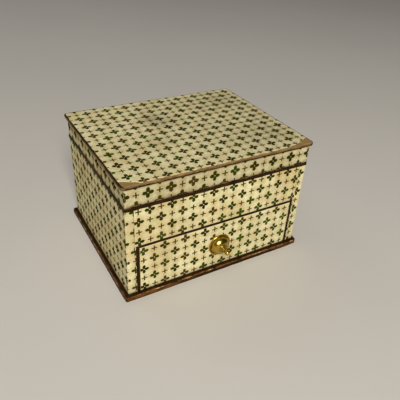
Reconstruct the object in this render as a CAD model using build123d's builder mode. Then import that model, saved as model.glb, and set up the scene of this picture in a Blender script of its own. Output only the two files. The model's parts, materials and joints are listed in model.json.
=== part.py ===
"""A paper-covered perfume box: a pasteboard case on a projecting base, with a hinged lid that opens over
a lined compartment with bottle cells, and a drawer with a domed brass knob below it.

Millimetres. +Z is up, the front faces -Y, and the origin is the middle of the underside.
"""

import os

from build123d import *

# Case
case_width = 169.4  # across the wall boards, left to right
case_depth = 135.6  # across the wall boards, front to back
wall_board = 3.0
seam_height = 89.5  # top of the case, where the lid closes
corner_radius = 0.8  # pressed corners of the wall boards
paper = 0.3  # printed and lining paper with its paste
tape = 0.4  # glazed brown binding paper
cloth = 0.4  # hinge cloth

# Base
base_board_thickness = 4.4
base_overhang = 4.0  # past the wall boards
base_corner = 2.0

# Drawer opening in the front board
stile_width = 9.7  # board left at each side of the opening
side_wrap = 6.9  # how far the side papers turn on to the front and the back
opening_height = 45.7
opening_tape_width = 2.1  # past the edge of the opening
rim_tape_width = 3.1

# Shelf, drawer guides and lining of the upper compartment
shelf_thickness = 2.4
guide_height = 10.0
liner_board = 1.6
lip_height = 5.5  # how far the lining boards stand up inside the lid

# Bottle cells
cell_columns = 4
cell_rows = 3
divider_thickness = 1.2
divider_height = 27.0
divider_end_gap = 0.1
slot_gap = 0.1  # each side of a divider in its slot

# Drawer
drawer_side_gap = 0.5  # to the opening tape and to the guides
drawer_top_gap = 0.5
drawer_floor_gap = 0.15
drawer_back_gap = 0.8
drawer_front_board = 3.0
drawer_side_board = 2.0
drawer_floor_board = 1.6
drawer_side_drop = 4.5  # the sides stand lower than the front

# Knob, measured outwards from the drawer front's paper
rosette_radius = 10.6
rosette_flange = 0.9
rosette_metal = 0.6
dome_radius = 9.2
dome_height = 7.2
collar_radius = 3.0
collar_length = 1.2
neck_radius = 1.5
ball_radius = 2.4
ball_centre = 13.0
shank_radius = 1.4
shank_gap = 0.1
washer_radius = 4.0
washer_thickness = 0.6
nut_across_flats = 5.5
nut_thickness = 2.2
shank_past_nut = 1.0

# Lid
lid_gap = 0.3  # seam between case and lid
lip_gap = 0.4  # between the lid's rim boards and the lip
lid_rim_height = 16.3
lid_board_thickness = 3.0
lid_overhang = 2.7  # past the wall boards, binding included
lid_corner = 2.5
top_paper_inset = 1.0

# Hinge cloth
hinge_cloth_width = 150.0
hinge_cloth_flap = 11.0

# Levels and faces worked out from the sizes above
half_width = case_width / 2
half_depth = case_depth / 2
base_board_z = paper
floor_z = paper + base_board_thickness + paper
wall_top = seam_height - tape
inner_half_width = half_width - wall_board
inner_half_depth = half_depth - wall_board
paper_half_width = half_width + paper
paper_half_depth = half_depth + paper
opening_half = half_width - stile_width
opening_top = floor_z + opening_height
shelf_top = opening_top + shelf_thickness
cell_floor = shelf_top + paper
liner_half_width = inner_half_width - liner_board
liner_half_depth = inner_half_depth - liner_board
lip_top = seam_height + lip_height
lid_bottom = seam_height + lid_gap
rim_board = wall_board - lip_gap
lid_under = lid_bottom + lid_rim_height
lid_top_face = lid_under + lid_board_thickness
lid_half_width = half_width + lid_overhang
lid_half_depth = half_depth + lid_overhang
hinge_z = seam_height + lid_gap / 2
hinge_y = paper_half_depth + cloth / 2

os.makedirs("parts", exist_ok=True)
made = []


def keep(piece, name):
    """Names a finished piece and writes its file."""
    piece.part.label = name
    export_step(piece.part, f"parts/{name}.step")
    made.append(name)


def panel(name, x_range, y_range, z_range):
    """A flat board or sheet between two corners."""
    x_low, x_high = x_range
    y_low, y_high = y_range
    z_low, z_high = z_range
    with BuildPart() as piece:
        with BuildSketch(Plane.XY.offset(z_low)):
            with Locations(((x_low + x_high) / 2, (y_low + y_high) / 2)):
                Rectangle(x_high - x_low, y_high - y_low)
        extrude(amount=z_high - z_low)
    keep(piece, name)


def mirrored(side, near, far):
    """A range of X on the left (side -1) or on the right (side 1)."""
    return sorted((side * near, side * far))


# Base: a board in a tray of brown paper, with a sheet underneath
with BuildPart() as base_board:
    with BuildSketch(Plane.XY.offset(base_board_z)):
        RectangleRounded(
            case_width + 2 * (base_overhang - paper),
            case_depth + 2 * (base_overhang - paper),
            base_corner - paper,
        )
    extrude(amount=base_board_thickness)
keep(base_board, "base_board")

with BuildPart() as base_cover:
    with BuildSketch(Plane.XY):
        RectangleRounded(case_width + 2 * base_overhang, case_depth + 2 * base_overhang, base_corner)
    extrude(amount=floor_z)
    with BuildSketch(Plane.XY):
        RectangleRounded(
            case_width + 2 * (base_overhang - paper),
            case_depth + 2 * (base_overhang - paper),
            base_corner - paper,
        )
    extrude(amount=floor_z - paper, mode=Mode.SUBTRACT)
keep(base_cover, "base_cover")

with BuildPart() as underside_paper:
    with BuildSketch(Plane.XY):
        RectangleRounded(
            case_width + 2 * (base_overhang - paper),
            case_depth + 2 * (base_overhang - paper),
            base_corner - paper,
        )
    extrude(amount=base_board_z)
keep(underside_paper, "underside_paper")


# Case walls: the side walls run the full depth and hold the front and back boards between them
def side_wall(name, side):
    """A side wall with its two outer corners pressed round."""
    with BuildPart() as wall:
        with BuildSketch(Plane.XY.offset(floor_z)):
            with Locations((side * (half_width - wall_board / 2), 0)):
                Rectangle(wall_board, case_depth)
        extrude(amount=wall_top - floor_z)
        outer = wall.edges().filter_by(Axis.Z).group_by(Axis.X)[-1 if side > 0 else 0]
        fillet(outer, corner_radius)
    keep(wall, name)


side_wall("left_wall", -1)
side_wall("right_wall", 1)
panel(
    "back_wall",
    (-inner_half_width, inner_half_width),
    (inner_half_depth, half_depth),
    (floor_z, seam_height),
)

with BuildPart() as front_frame:
    with BuildSketch(Plane.XZ.offset(half_depth)):
        with Locations((0, (floor_z + wall_top) / 2)):
            Rectangle(2 * inner_half_width, wall_top - floor_z)
        with Locations((0, (floor_z + opening_top) / 2)):
            Rectangle(2 * opening_half, opening_height, mode=Mode.SUBTRACT)
    extrude(amount=-wall_board)
keep(front_frame, "front_frame")

# Shelf between the compartments, and the guides that keep the drawer straight
panel(
    "shelf_board",
    (-inner_half_width, inner_half_width),
    (-inner_half_depth, inner_half_depth),
    (opening_top, shelf_top),
)
for side, name in ((-1, "left_guide"), (1, "right_guide")):
    panel(
        name,
        mirrored(side, opening_half - tape, inner_half_width),
        (-inner_half_depth, inner_half_depth),
        (floor_z, floor_z + guide_height),
    )


# Printed paper on the case
def side_paper(name, side):
    """A sheet on a side wall that turns round both corners."""
    with BuildPart() as sheet:
        with BuildSketch(Plane.XY.offset(floor_z)):
            RectangleRounded(2 * paper_half_width, 2 * paper_half_depth, corner_radius + paper)
            RectangleRounded(case_width, case_depth, corner_radius, mode=Mode.SUBTRACT)
            with Locations((side * half_width, 0)):
                Rectangle(2 * side_wrap, case_depth + 1, mode=Mode.INTERSECT)
        extrude(amount=wall_top - floor_z)
    keep(sheet, name)


side_paper("left_side_paper", -1)
side_paper("right_side_paper", 1)
panel(
    "back_paper",
    (-half_width + side_wrap, half_width - side_wrap),
    (half_depth, paper_half_depth),
    (floor_z, seam_height),
)

with BuildPart() as front_paper:
    with BuildSketch(Plane.XZ.offset(half_depth)):
        with Locations((0, (floor_z + wall_top) / 2)):
            Rectangle(case_width - 2 * side_wrap, wall_top - floor_z)
        with Locations((0, (floor_z + opening_top) / 2)):
            Rectangle(2 * opening_half, opening_height, mode=Mode.SUBTRACT)
    extrude(amount=paper)
keep(front_paper, "front_paper")

# Brown tape round the top of the case, on the front and the sides, turned over the boards' top edges
with BuildPart() as rim_tape:
    with BuildSketch(Plane.XY.offset(seam_height - rim_tape_width)):
        with Locations((0, -tape / 2)):
            Rectangle(2 * (paper_half_width + tape), 2 * paper_half_depth + tape)
    extrude(amount=rim_tape_width)
    with BuildSketch(Plane.XY.offset(seam_height - rim_tape_width)):
        Rectangle(2 * paper_half_width, 2 * paper_half_depth)
    extrude(amount=rim_tape_width - tape, mode=Mode.SUBTRACT)
    with BuildSketch(Plane.XY.offset(seam_height - tape)):
        with Locations((0, wall_board)):
            Rectangle(2 * inner_half_width, case_depth)
    extrude(amount=tape, mode=Mode.SUBTRACT)
keep(rim_tape, "rim_tape")

# Brown tape round the drawer opening, turned in over the board's edge
with BuildPart() as opening_tape:
    with BuildSketch(Plane.XZ.offset(paper_half_depth)):
        with Locations((0, (floor_z + opening_top + opening_tape_width) / 2)):
            Rectangle(2 * (opening_half + opening_tape_width), opening_height + opening_tape_width)
        with Locations((0, (floor_z + opening_top - tape) / 2)):
            Rectangle(2 * (opening_half - tape), opening_height - tape, mode=Mode.SUBTRACT)
    extrude(amount=tape)
    with BuildSketch(Plane.XZ.offset(paper_half_depth)):
        with Locations((0, (floor_z + opening_top) / 2)):
            Rectangle(2 * opening_half, opening_height)
        with Locations((0, (floor_z + opening_top - tape) / 2)):
            Rectangle(2 * (opening_half - tape), opening_height - tape, mode=Mode.SUBTRACT)
    extrude(amount=-(wall_board + paper))
keep(opening_tape, "opening_tape")

# Lining of the upper compartment: the boards stand above the case as a lip that centres the lid
for side, name in ((-1, "left_liner"), (1, "right_liner")):
    panel(
        name,
        mirrored(side, liner_half_width, inner_half_width),
        (-inner_half_depth, inner_half_depth),
        (shelf_top, lip_top),
    )
for side, name in ((-1, "front_liner"), (1, "back_liner")):
    panel(
        name,
        (-liner_half_width, liner_half_width),
        mirrored(side, liner_half_depth, inner_half_depth),
        (shelf_top, lip_top),
    )
panel(
    "shelf_lining",
    (-liner_half_width, liner_half_width),
    (-liner_half_depth, liner_half_depth),
    (shelf_top, cell_floor),
)

# Bottle cells: slotted card dividers that lock into each other at half their height
cell_pitch_x = 2 * liner_half_width / cell_columns
cell_pitch_y = 2 * liner_half_depth / cell_rows
cross_places = [cell_pitch_x * (i - cell_columns / 2) for i in range(1, cell_columns)]
long_places = [cell_pitch_y * (j - cell_rows / 2) for j in range(1, cell_rows)]
slot_width = divider_thickness + 2 * slot_gap
slot_depth = divider_height / 2 + slot_gap
divider_top = cell_floor + divider_height


def long_divider(name, place):
    """A divider along X with its slots open at the top."""
    with BuildPart() as divider:
        with BuildSketch(Plane.XZ.offset(divider_thickness / 2 - place)):
            with Locations((0, cell_floor + divider_height / 2)):
                Rectangle(2 * (liner_half_width - divider_end_gap), divider_height)
            with Locations(*[(x, divider_top - slot_depth / 2) for x in cross_places]):
                Rectangle(slot_width, slot_depth, mode=Mode.SUBTRACT)
        extrude(amount=-divider_thickness)
    keep(divider, name)


def cross_divider(name, place):
    """A divider along Y with its slots open at the bottom."""
    with BuildPart() as divider:
        with BuildSketch(Plane.YZ.offset(place - divider_thickness / 2)):
            with Locations((0, cell_floor + divider_height / 2)):
                Rectangle(2 * (liner_half_depth - divider_end_gap), divider_height)
            with Locations(*[(y, cell_floor + slot_depth / 2) for y in long_places]):
                Rectangle(slot_width, slot_depth, mode=Mode.SUBTRACT)
        extrude(amount=divider_thickness)
    keep(divider, name)


for number, place in enumerate(long_places, 1):
    long_divider(f"long_divider_{number}", place)
for number, place in enumerate(cross_places, 1):
    cross_divider(f"cross_divider_{number}", place)

# Drawer
drawer_half = opening_half - tape - drawer_side_gap
drawer_low = floor_z + drawer_floor_gap
drawer_high = opening_top - tape - drawer_top_gap
drawer_inner_front = -half_depth + drawer_front_board
drawer_rear = inner_half_depth - drawer_back_gap
drawer_side_top = drawer_high - drawer_side_drop
drawer_floor_top = drawer_low + drawer_floor_board
knob_z = (drawer_low + drawer_high) / 2
knob_hole = shank_radius + shank_gap

with BuildPart() as drawer_front:
    with BuildSketch(Plane.XZ.offset(half_depth)):
        with Locations((0, (drawer_low + drawer_high) / 2)):
            Rectangle(2 * drawer_half, drawer_high - drawer_low)
        with Locations((0, knob_z)):
            Circle(knob_hole, mode=Mode.SUBTRACT)
    extrude(amount=-drawer_front_board)
keep(drawer_front, "drawer_front")

with BuildPart() as drawer_front_paper:
    with BuildSketch(Plane.XZ.offset(half_depth)):
        with Locations((0, (drawer_low + drawer_high) / 2)):
            Rectangle(2 * drawer_half, drawer_high - drawer_low)
        with Locations((0, knob_z)):
            Circle(knob_hole, mode=Mode.SUBTRACT)
    extrude(amount=paper)
keep(drawer_front_paper, "drawer_front_paper")

for side, name in ((-1, "drawer_left_side"), (1, "drawer_right_side")):
    panel(
        name,
        mirrored(side, drawer_half - drawer_side_board, drawer_half),
        (drawer_inner_front, drawer_rear),
        (drawer_low, drawer_side_top),
    )
panel(
    "drawer_back",
    (-drawer_half + drawer_side_board, drawer_half - drawer_side_board),
    (drawer_rear - drawer_side_board, drawer_rear),
    (drawer_low, drawer_side_top),
)
panel(
    "drawer_floor",
    (-drawer_half + drawer_side_board, drawer_half - drawer_side_board),
    (drawer_inner_front, drawer_rear - drawer_side_board),
    (drawer_low, drawer_floor_top),
)
panel(
    "drawer_lining",
    (-drawer_half + drawer_side_board, drawer_half - drawer_side_board),
    (drawer_inner_front, drawer_rear - drawer_side_board),
    (drawer_floor_top, drawer_floor_top + paper),
)

# Knob: turned about an axis that points out of the drawer front
knob_plane = Plane(origin=(0, -paper_half_depth, knob_z), x_dir=(1, 0, 0), z_dir=(0, -1, 0))
turning_plane = Plane(origin=knob_plane.origin, x_dir=(1, 0, 0), z_dir=(0, 0, -1))
turning_axis = Axis(knob_plane.origin, (0, -1, 0))
seat_radius = neck_radius + rosette_metal
dome_shoulder = (0.86 * dome_radius, 0.62 * dome_height)

with BuildPart() as knob_rosette:
    with BuildSketch(turning_plane):
        with BuildLine():
            skirt = Line((dome_radius - rosette_metal, 0), (rosette_radius, 0))
            edge = Line(skirt @ 1, (rosette_radius, rosette_flange))
            step = Line(edge @ 1, (dome_radius, rosette_flange))
            dome = ThreePointArc(step @ 1, dome_shoulder, (seat_radius, dome_height))
            seat = Line(dome @ 1, (shank_radius + shank_gap, dome_height))
            bore = Line(seat @ 1, (shank_radius + shank_gap, dome_height - rosette_metal))
            under = Line(bore @ 1, (seat_radius, dome_height - rosette_metal))
            ThreePointArc(
                under @ 1,
                (dome_shoulder[0] - rosette_metal, dome_shoulder[1] - rosette_metal),
                skirt @ 0,
            )
        make_face()
    revolve(axis=turning_axis)
keep(knob_rosette, "knob_rosette")

washer_seat = -(paper + drawer_front_board)
shank_end = washer_seat - washer_thickness - nut_thickness - shank_past_nut
collar_top = dome_height + collar_length
ball_foot = ball_centre - (ball_radius**2 - neck_radius**2) ** 0.5

with BuildPart() as drawer_knob:
    with BuildSketch(turning_plane):
        with BuildLine():
            tip = Line((0, ball_centre + ball_radius), (0, shank_end))
            foot = Line(tip @ 1, (shank_radius, shank_end))
            shank = Line(foot @ 1, (shank_radius, dome_height))
            collar_under = Line(shank @ 1, (collar_radius, dome_height))
            collar = ThreePointArc(
                collar_under @ 1,
                ((collar_radius + neck_radius) / 2 + 0.3 * collar_radius, dome_height + collar_length / 2),
                (neck_radius, collar_top),
            )
            neck = Line(collar @ 1, (neck_radius, ball_foot))
            ThreePointArc(neck @ 1, (ball_radius, ball_centre), tip @ 0)
        make_face()
    revolve(axis=turning_axis)
keep(drawer_knob, "drawer_knob")

with BuildPart() as knob_washer:
    with BuildSketch(knob_plane.offset(washer_seat)):
        Circle(washer_radius)
        Circle(shank_radius + shank_gap, mode=Mode.SUBTRACT)
    extrude(amount=-washer_thickness)
keep(knob_washer, "knob_washer")

with BuildPart() as knob_nut:
    with BuildSketch(knob_plane.offset(washer_seat - washer_thickness)):
        Rectangle(nut_across_flats, nut_across_flats)
        Circle(shank_radius + shank_gap / 2, mode=Mode.SUBTRACT)
    extrude(amount=-nut_thickness)
keep(knob_nut, "knob_nut")


# Lid: a plate with a binding on its edge and a printed sheet on top, on four rim boards
def lid_outline(inset):
    """The lid's outline, drawn in by inset."""
    return RectangleRounded(
        2 * (lid_half_width - inset), 2 * (lid_half_depth - inset), lid_corner - inset
    )


with BuildPart() as lid_board:
    with BuildSketch(Plane.XY.offset(lid_under)):
        lid_outline(tape)
    extrude(amount=lid_board_thickness)
keep(lid_board, "lid_board")

with BuildPart() as lid_edge_tape:
    with BuildSketch(Plane.XY.offset(lid_under)):
        lid_outline(0)
        RectangleRounded(
            2 * (lid_half_width - tape),
            2 * (lid_half_depth - tape),
            lid_corner - tape,
            mode=Mode.SUBTRACT,
        )
    extrude(amount=lid_board_thickness)
keep(lid_edge_tape, "lid_edge_tape")

with BuildPart() as lid_top_paper:
    with BuildSketch(Plane.XY.offset(lid_top_face)):
        lid_outline(top_paper_inset)
    extrude(amount=paper)
keep(lid_top_paper, "lid_top_paper")

for side, name in ((-1, "lid_front_rim"), (1, "lid_back_rim")):
    panel(
        name,
        (-half_width, half_width),
        mirrored(side, half_depth - rim_board, half_depth),
        (lid_bottom, lid_under),
    )
for side, name in ((-1, "lid_left_rim"), (1, "lid_right_rim")):
    panel(
        name,
        mirrored(side, half_width - rim_board, half_width),
        (-half_depth + rim_board, half_depth - rim_board),
        (lid_bottom, lid_under),
    )
for side, name in ((-1, "lid_front_paper"), (1, "lid_back_paper")):
    panel(
        name,
        (-paper_half_width, paper_half_width),
        mirrored(side, half_depth, paper_half_depth),
        (lid_bottom, lid_under),
    )
for side, name in ((-1, "lid_left_paper"), (1, "lid_right_paper")):
    panel(
        name,
        mirrored(side, half_width, paper_half_width),
        (-half_depth, half_depth),
        (lid_bottom, lid_under),
    )
panel(
    "lid_lining",
    (-half_width + rim_board, half_width - rim_board),
    (-half_depth + rim_board, half_depth - rim_board),
    (lid_under - paper, lid_under),
)

# Hinge cloth, glued to the back of the case and of the lid
panel(
    "hinge_cloth",
    (-hinge_cloth_width / 2, hinge_cloth_width / 2),
    (paper_half_depth, paper_half_depth + cloth),
    (hinge_z - hinge_cloth_flap, hinge_z + hinge_cloth_flap),
)

print(len(made), "nodes")
print("hinge axis at y", hinge_y, "z", hinge_z)
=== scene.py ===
"""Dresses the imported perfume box: printed papers, brown tapes, worn pasteboard, cloth hinge and brass knob.

Sizes are millimetres in the code and metres in the meshes. +Z is up and the front faces -Y.
"""

import json
import math

import bmesh
import bpy
import numpy as np
from bpy.props import FloatProperty, FloatVectorProperty, PointerProperty
from mathutils import Matrix, Vector


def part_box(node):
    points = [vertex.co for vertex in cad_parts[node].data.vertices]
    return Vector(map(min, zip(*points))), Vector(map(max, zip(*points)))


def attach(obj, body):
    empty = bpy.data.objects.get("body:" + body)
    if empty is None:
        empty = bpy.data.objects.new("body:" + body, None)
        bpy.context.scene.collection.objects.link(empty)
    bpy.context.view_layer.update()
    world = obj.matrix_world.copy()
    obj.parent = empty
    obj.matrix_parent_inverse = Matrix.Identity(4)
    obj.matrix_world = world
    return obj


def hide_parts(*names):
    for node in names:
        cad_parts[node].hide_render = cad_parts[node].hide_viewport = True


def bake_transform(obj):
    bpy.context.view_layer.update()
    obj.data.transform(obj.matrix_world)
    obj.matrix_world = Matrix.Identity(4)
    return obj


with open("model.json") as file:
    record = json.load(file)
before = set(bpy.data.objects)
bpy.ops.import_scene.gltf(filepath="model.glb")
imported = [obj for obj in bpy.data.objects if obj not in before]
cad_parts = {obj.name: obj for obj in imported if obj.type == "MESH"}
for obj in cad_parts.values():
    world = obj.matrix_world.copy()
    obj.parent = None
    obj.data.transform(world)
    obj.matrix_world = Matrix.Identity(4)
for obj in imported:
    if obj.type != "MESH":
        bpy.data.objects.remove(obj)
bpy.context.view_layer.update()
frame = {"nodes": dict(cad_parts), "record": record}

bl_info = {
    "name": "Perfume Box",
    "version": (1, 0, 0),
    "blender": (4, 5, 0),
    "location": "View3D > Sidebar > Perfume Box",
    "description": "Papers, tapes, boards, hinge cloth and knob of an antique perfume box",
    "category": "Add Mesh",
}

MM = 0.001


def node_box(node):
    """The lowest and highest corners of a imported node, in millimetres."""
    low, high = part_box(node)
    return np.array(low) / MM, np.array(high) / MM


BASE_LOW, BASE_HIGH = node_box("base_cover")
SIDE_LOW, SIDE_HIGH = node_box("left_side_paper")
RIM_LOW, RIM_HIGH = node_box("lid_front_paper")
PLATE_LOW, PLATE_HIGH = node_box("lid_edge_tape")
TOP_LOW, TOP_HIGH = node_box("lid_top_paper")
FACE_LOW, FACE_HIGH = node_box("drawer_front_paper")
OPENING_LOW, OPENING_HIGH = node_box("opening_tape")
TAPE_LOW, TAPE_HIGH = node_box("rim_tape")
CLOTH_LOW, CLOTH_HIGH = node_box("hinge_cloth")
ROSETTE_LOW, ROSETTE_HIGH = node_box("knob_rosette")
KNOB_LOW, KNOB_HIGH = node_box("drawer_knob")

HALF_WIDTH = -SIDE_LOW[0]  # of the case over its papers
HALF_DEPTH = SIDE_HIGH[1]
SHEET_TOP = node_box("underside_paper")[1][2]  # of the sheet under the base
PAPER_SKIN = 0.22  # how thick the printed paper is made
CELL = 9.27  # distance between neighbouring motifs of the print
FRONT_CELL = (9.295, 9.33)  # pitch of the front's print across and upwards
FRONT_LEAN = 0.012  # how far the front's print leans for each millimetre upwards


def srgb(red, green, blue):
    """A colour given as 0 to 255 on the screen, as the linear values that a shader takes."""
    value = np.array((red, green, blue)) / 255
    linear = np.where(value <= 0.04045, value / 12.92, ((value + 0.055) / 1.055) ** 2.4)
    return tuple(float(part) for part in linear)


class PaperLook(bpy.types.PropertyGroup):
    """Sizes and colours of the printed paper."""

    cell: FloatProperty(
        name="Cell", description="Distance between neighbouring motifs", default=CELL * MM, unit="LENGTH"
    )
    ground: FloatVectorProperty(
        name="Ground",
        description="Colour of the paper where it is clean",
        default=srgb(238, 229, 180),
        subtype="COLOR",
    )
    stain: FloatVectorProperty(
        name="Stain",
        description="Colour that age has given the paper",
        default=srgb(190, 165, 104),
        subtype="COLOR",
    )
    ink: FloatVectorProperty(
        name="Flower ink",
        description="Darkest colour of the four-petalled flowers",
        default=srgb(40, 36, 0),
        subtype="COLOR",
    )
    green: FloatVectorProperty(
        name="Green ink",
        description="Greenest colour of the flowers",
        default=srgb(60, 74, 14),
        subtype="COLOR",
    )
    cross: FloatVectorProperty(
        name="Cross ink",
        description="Colour of the small crosses",
        default=srgb(62, 52, 12),
        subtype="COLOR",
    )


class BoardLook(bpy.types.PropertyGroup):
    """Colours of the tape, the boards, the lining, the cloth and the brass."""

    tape: FloatVectorProperty(
        name="Tape",
        description="Colour of the glazed brown paper",
        default=srgb(47, 29, 5),
        subtype="COLOR",
    )
    rubbed: FloatVectorProperty(
        name="Rubbed tape",
        description="Colour of the brown paper where it is rubbed",
        default=srgb(124, 80, 38),
        subtype="COLOR",
    )
    board: FloatVectorProperty(
        name="Board",
        description="Colour of the bare pasteboard",
        default=srgb(154, 124, 72),
        subtype="COLOR",
    )
    lining: FloatVectorProperty(
        name="Lining",
        description="Colour of the plain lining paper",
        default=srgb(222, 210, 182),
        subtype="COLOR",
    )
    cloth: FloatVectorProperty(
        name="Hinge cloth",
        description="Colour of the hinge cloth",
        default=srgb(70, 46, 32),
        subtype="COLOR",
    )
    brass: FloatVectorProperty(
        name="Brass",
        description="Colour of the lacquered brass",
        default=srgb(200, 168, 74),
        subtype="COLOR",
    )


class StageLook(bpy.types.PropertyGroup):
    """The floor and the light."""

    floor: FloatVectorProperty(
        name="Floor", description="Colour of the floor", default=srgb(214, 208, 199), subtype="COLOR"
    )
    key: FloatProperty(
        name="Key light", description="Strength of the large lamp in front", default=46.0, unit="POWER"
    )
    ambient: FloatProperty(
        name="Ambient light", description="Strength of the even light all round", default=0.10
    )


# Shapes


def ripple(across, along, size, seed, waves=11):
    """Smooth unevenness of about -1 to 1: sine waves of lengths near size, in scattered directions, added
    up and divided by the square root of their number. The seed settles their draws."""
    random = np.random.default_rng(seed)
    turn = random.uniform(0, 2 * math.pi, waves)
    length = size * random.uniform(0.6, 1.7, waves)
    start = random.uniform(0, 2 * math.pi, waves)
    across, along = np.broadcast_arrays(across, along)
    shape = (waves,) + (1,) * across.ndim
    turn, length, start = (part.reshape(shape) for part in (turn, length, start))
    phase = 2 * math.pi * (across * np.cos(turn) + along * np.sin(turn)) / length + start
    return np.sin(phase).sum(axis=0) / math.sqrt(waves)


def rounded_path(corners, radii, spacing, closed=False):
    """Points along straight runs joined by arcs of the given radii, with the distance run at each.
    Each arc touches its two runs at its radius times the tangent of half the turn from the corner."""
    corners = np.array(corners, float)
    count = len(corners)
    pieces = []
    for index in range(count):
        here, before, after = corners[index], corners[index - 1], corners[(index + 1) % count]
        radius = radii[index]
        if radius == 0 or (not closed and index in (0, count - 1)):
            pieces.append(here[None])
            continue
        inward, outward = before - here, after - here
        inward /= np.linalg.norm(inward)
        outward /= np.linalg.norm(outward)
        half_turn = (math.pi - math.acos(np.clip(inward @ outward, -1, 1))) / 2
        start = here + inward * radius * math.tan(half_turn)
        middle = inward + outward
        centre = here + middle / np.linalg.norm(middle) * radius / math.cos(half_turn)
        first = start - centre
        second = here + outward * radius * math.tan(half_turn) - centre
        steps = max(3, int(math.ceil(radius * half_turn * 2 / (spacing / 2))))
        share = np.linspace(0, 1, steps + 1)[:, None]
        arc = (
            first * np.sin((1 - share) * 2 * half_turn) + second * np.sin(share * 2 * half_turn)
        ) / math.sin(2 * half_turn)
        pieces.append(centre + arc)
    knots = np.concatenate(pieces + ([pieces[0][:1]] if closed else []))
    step = np.linalg.norm(np.diff(knots, axis=0), axis=1)
    keep = np.concatenate(([True], step > 1e-6))
    knots = knots[keep]
    runs = np.linalg.norm(np.diff(knots, axis=0), axis=1)
    cuts = np.maximum(1, np.ceil(runs / spacing).astype(int))
    where = np.concatenate([np.arange(n) / n + i for i, n in enumerate(cuts)] + [[len(runs)]])
    points = np.stack([np.interp(where, np.arange(len(knots)), knots[:, axis]) for axis in (0, 1)], axis=1)
    distance = np.interp(where, np.arange(len(knots)), np.concatenate(([0], np.cumsum(runs))))
    return points, distance


def outward(points, closed=False):
    """Unit normals to the right of a path, which point out of an outline that runs anticlockwise."""
    if closed:
        ahead = np.roll(points, -1, axis=0) - np.roll(points, 1, axis=0)
    else:
        ahead = np.gradient(points, axis=0)
    ahead /= np.linalg.norm(ahead, axis=1)[:, None]
    return np.stack([ahead[:, 1], -ahead[:, 0]], axis=1)


def grid(points, lattice=None, marks=None, around=False, ring=False, cap_first=False, cap_last=False):
    """One surface: points of two parameters, with what goes with them. around closes the first parameter,
    ring closes the second, and a cap fills the hole left at an end of the second."""
    return {
        "points": np.asarray(points, float),
        "lattice": lattice,
        "marks": marks or {},
        "around": around,
        "ring": ring,
        "caps": (cap_first, cap_last),
    }


def faces_of(rows, columns, around, ring):
    """The four corners of each face of a grid, in the order that faces the first parameter's direction
    crossed with the second's."""
    i = np.arange(rows if around else rows - 1)[:, None]
    j = np.arange(columns if ring else columns - 1)[None, :]
    i_next, j_next = (i + 1) % rows, (j + 1) % columns
    quads = [i * columns + j, i_next * columns + j, i_next * columns + j_next, i * columns + j_next]
    return np.stack(quads, axis=-1).reshape(-1, 4)


def build(name, grids, material, body, skin=0.0):
    """Puts grids into one mesh object, which takes a slot and rides on the body named, if any."""
    vertices, quads, fans, lattice, marks = [], [], [], [], {}
    names = sorted({key for part in grids for key in part["marks"]})
    base = 0
    for part in grids:
        points = part["points"]
        rows, columns = points.shape[:2]
        flat = points.reshape(-1, 3)
        vertices.append(flat)
        quads.append(faces_of(rows, columns, part["around"], part["ring"]) + base)
        uv = part["lattice"]
        lattice.append(np.zeros((len(flat), 2)) if uv is None else uv.reshape(-1, 2))
        for key in names:
            value = part["marks"].get(key, 0.0)
            marks.setdefault(key, []).append(np.broadcast_to(value, (rows, columns)).reshape(-1))
        end = base + len(flat)
        for side, wanted in enumerate(part["caps"]):
            if not wanted:
                continue
            column = 0 if side == 0 else columns - 1
            edge = np.arange(rows) * columns + column + base
            centre = points[:, column].mean(axis=0)
            vertices.append(centre[None])
            lattice.append(lattice[-1][-1:] if uv is None else uv[:, column].mean(axis=0)[None])
            for key in names:
                value = np.broadcast_to(part["marks"].get(key, 0.0), (rows, columns))[:, column]
                marks[key].append(np.array([value.mean()]))
            following = np.roll(edge, -1)
            hub = np.full(rows, end)
            order = (following, edge, hub) if side == 0 else (edge, following, hub)
            fans.append(np.stack(order, axis=1))
            end += 1
        base = end
    corners = np.concatenate([part.reshape(-1) for part in quads + fans])
    sizes = np.concatenate(
        [np.full(len(part), 4) for part in quads] + [np.full(len(part), 3) for part in fans]
    )
    mesh = bpy.data.meshes.new(name)
    mesh.vertices.add(base)
    mesh.vertices.foreach_set("co", (np.concatenate(vertices) * MM).ravel())
    mesh.loops.add(len(corners))
    mesh.loops.foreach_set("vertex_index", corners.astype(np.int32))
    mesh.polygons.add(len(sizes))
    mesh.polygons.foreach_set("loop_start", np.concatenate(([0], np.cumsum(sizes)[:-1])).astype(np.int32))
    mesh.polygons.foreach_set("loop_total", sizes.astype(np.int32))
    mesh.update(calc_edges=True)
    layer = mesh.uv_layers.new(name="print")
    layer.data.foreach_set("uv", np.concatenate(lattice)[corners].ravel())
    for key, values in marks.items():
        attribute = mesh.attributes.new(key, "FLOAT", "POINT")
        attribute.data.foreach_set("value", np.concatenate(values).astype(np.float32))
    mesh.polygons.foreach_set("use_smooth", np.ones(len(sizes), bool))
    mesh.validate()
    mesh.update()
    piece = bpy.data.objects.new(name, mesh)
    bpy.context.scene.collection.objects.link(piece)
    mesh.materials.append(material)
    if skin:
        solid = piece.modifiers.new("thickness", "SOLIDIFY")
        solid.thickness = skin * MM
        solid.offset = -1
        solid.use_rim = True
    if body:
        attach(piece, body)
    return piece


def carried(points, normals, across, height, scale=1.0):
    """A profile carried along a path: across is how far out of the path each point lies, height its level,
    and scale draws it towards the middle."""
    scale = np.broadcast_to(scale, across.shape)
    plan = (points[:, None] + normals[:, None] * across[..., None]) * scale[..., None]
    return np.concatenate([plan, np.broadcast_to(height, across.shape)[..., None]], axis=-1)


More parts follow.
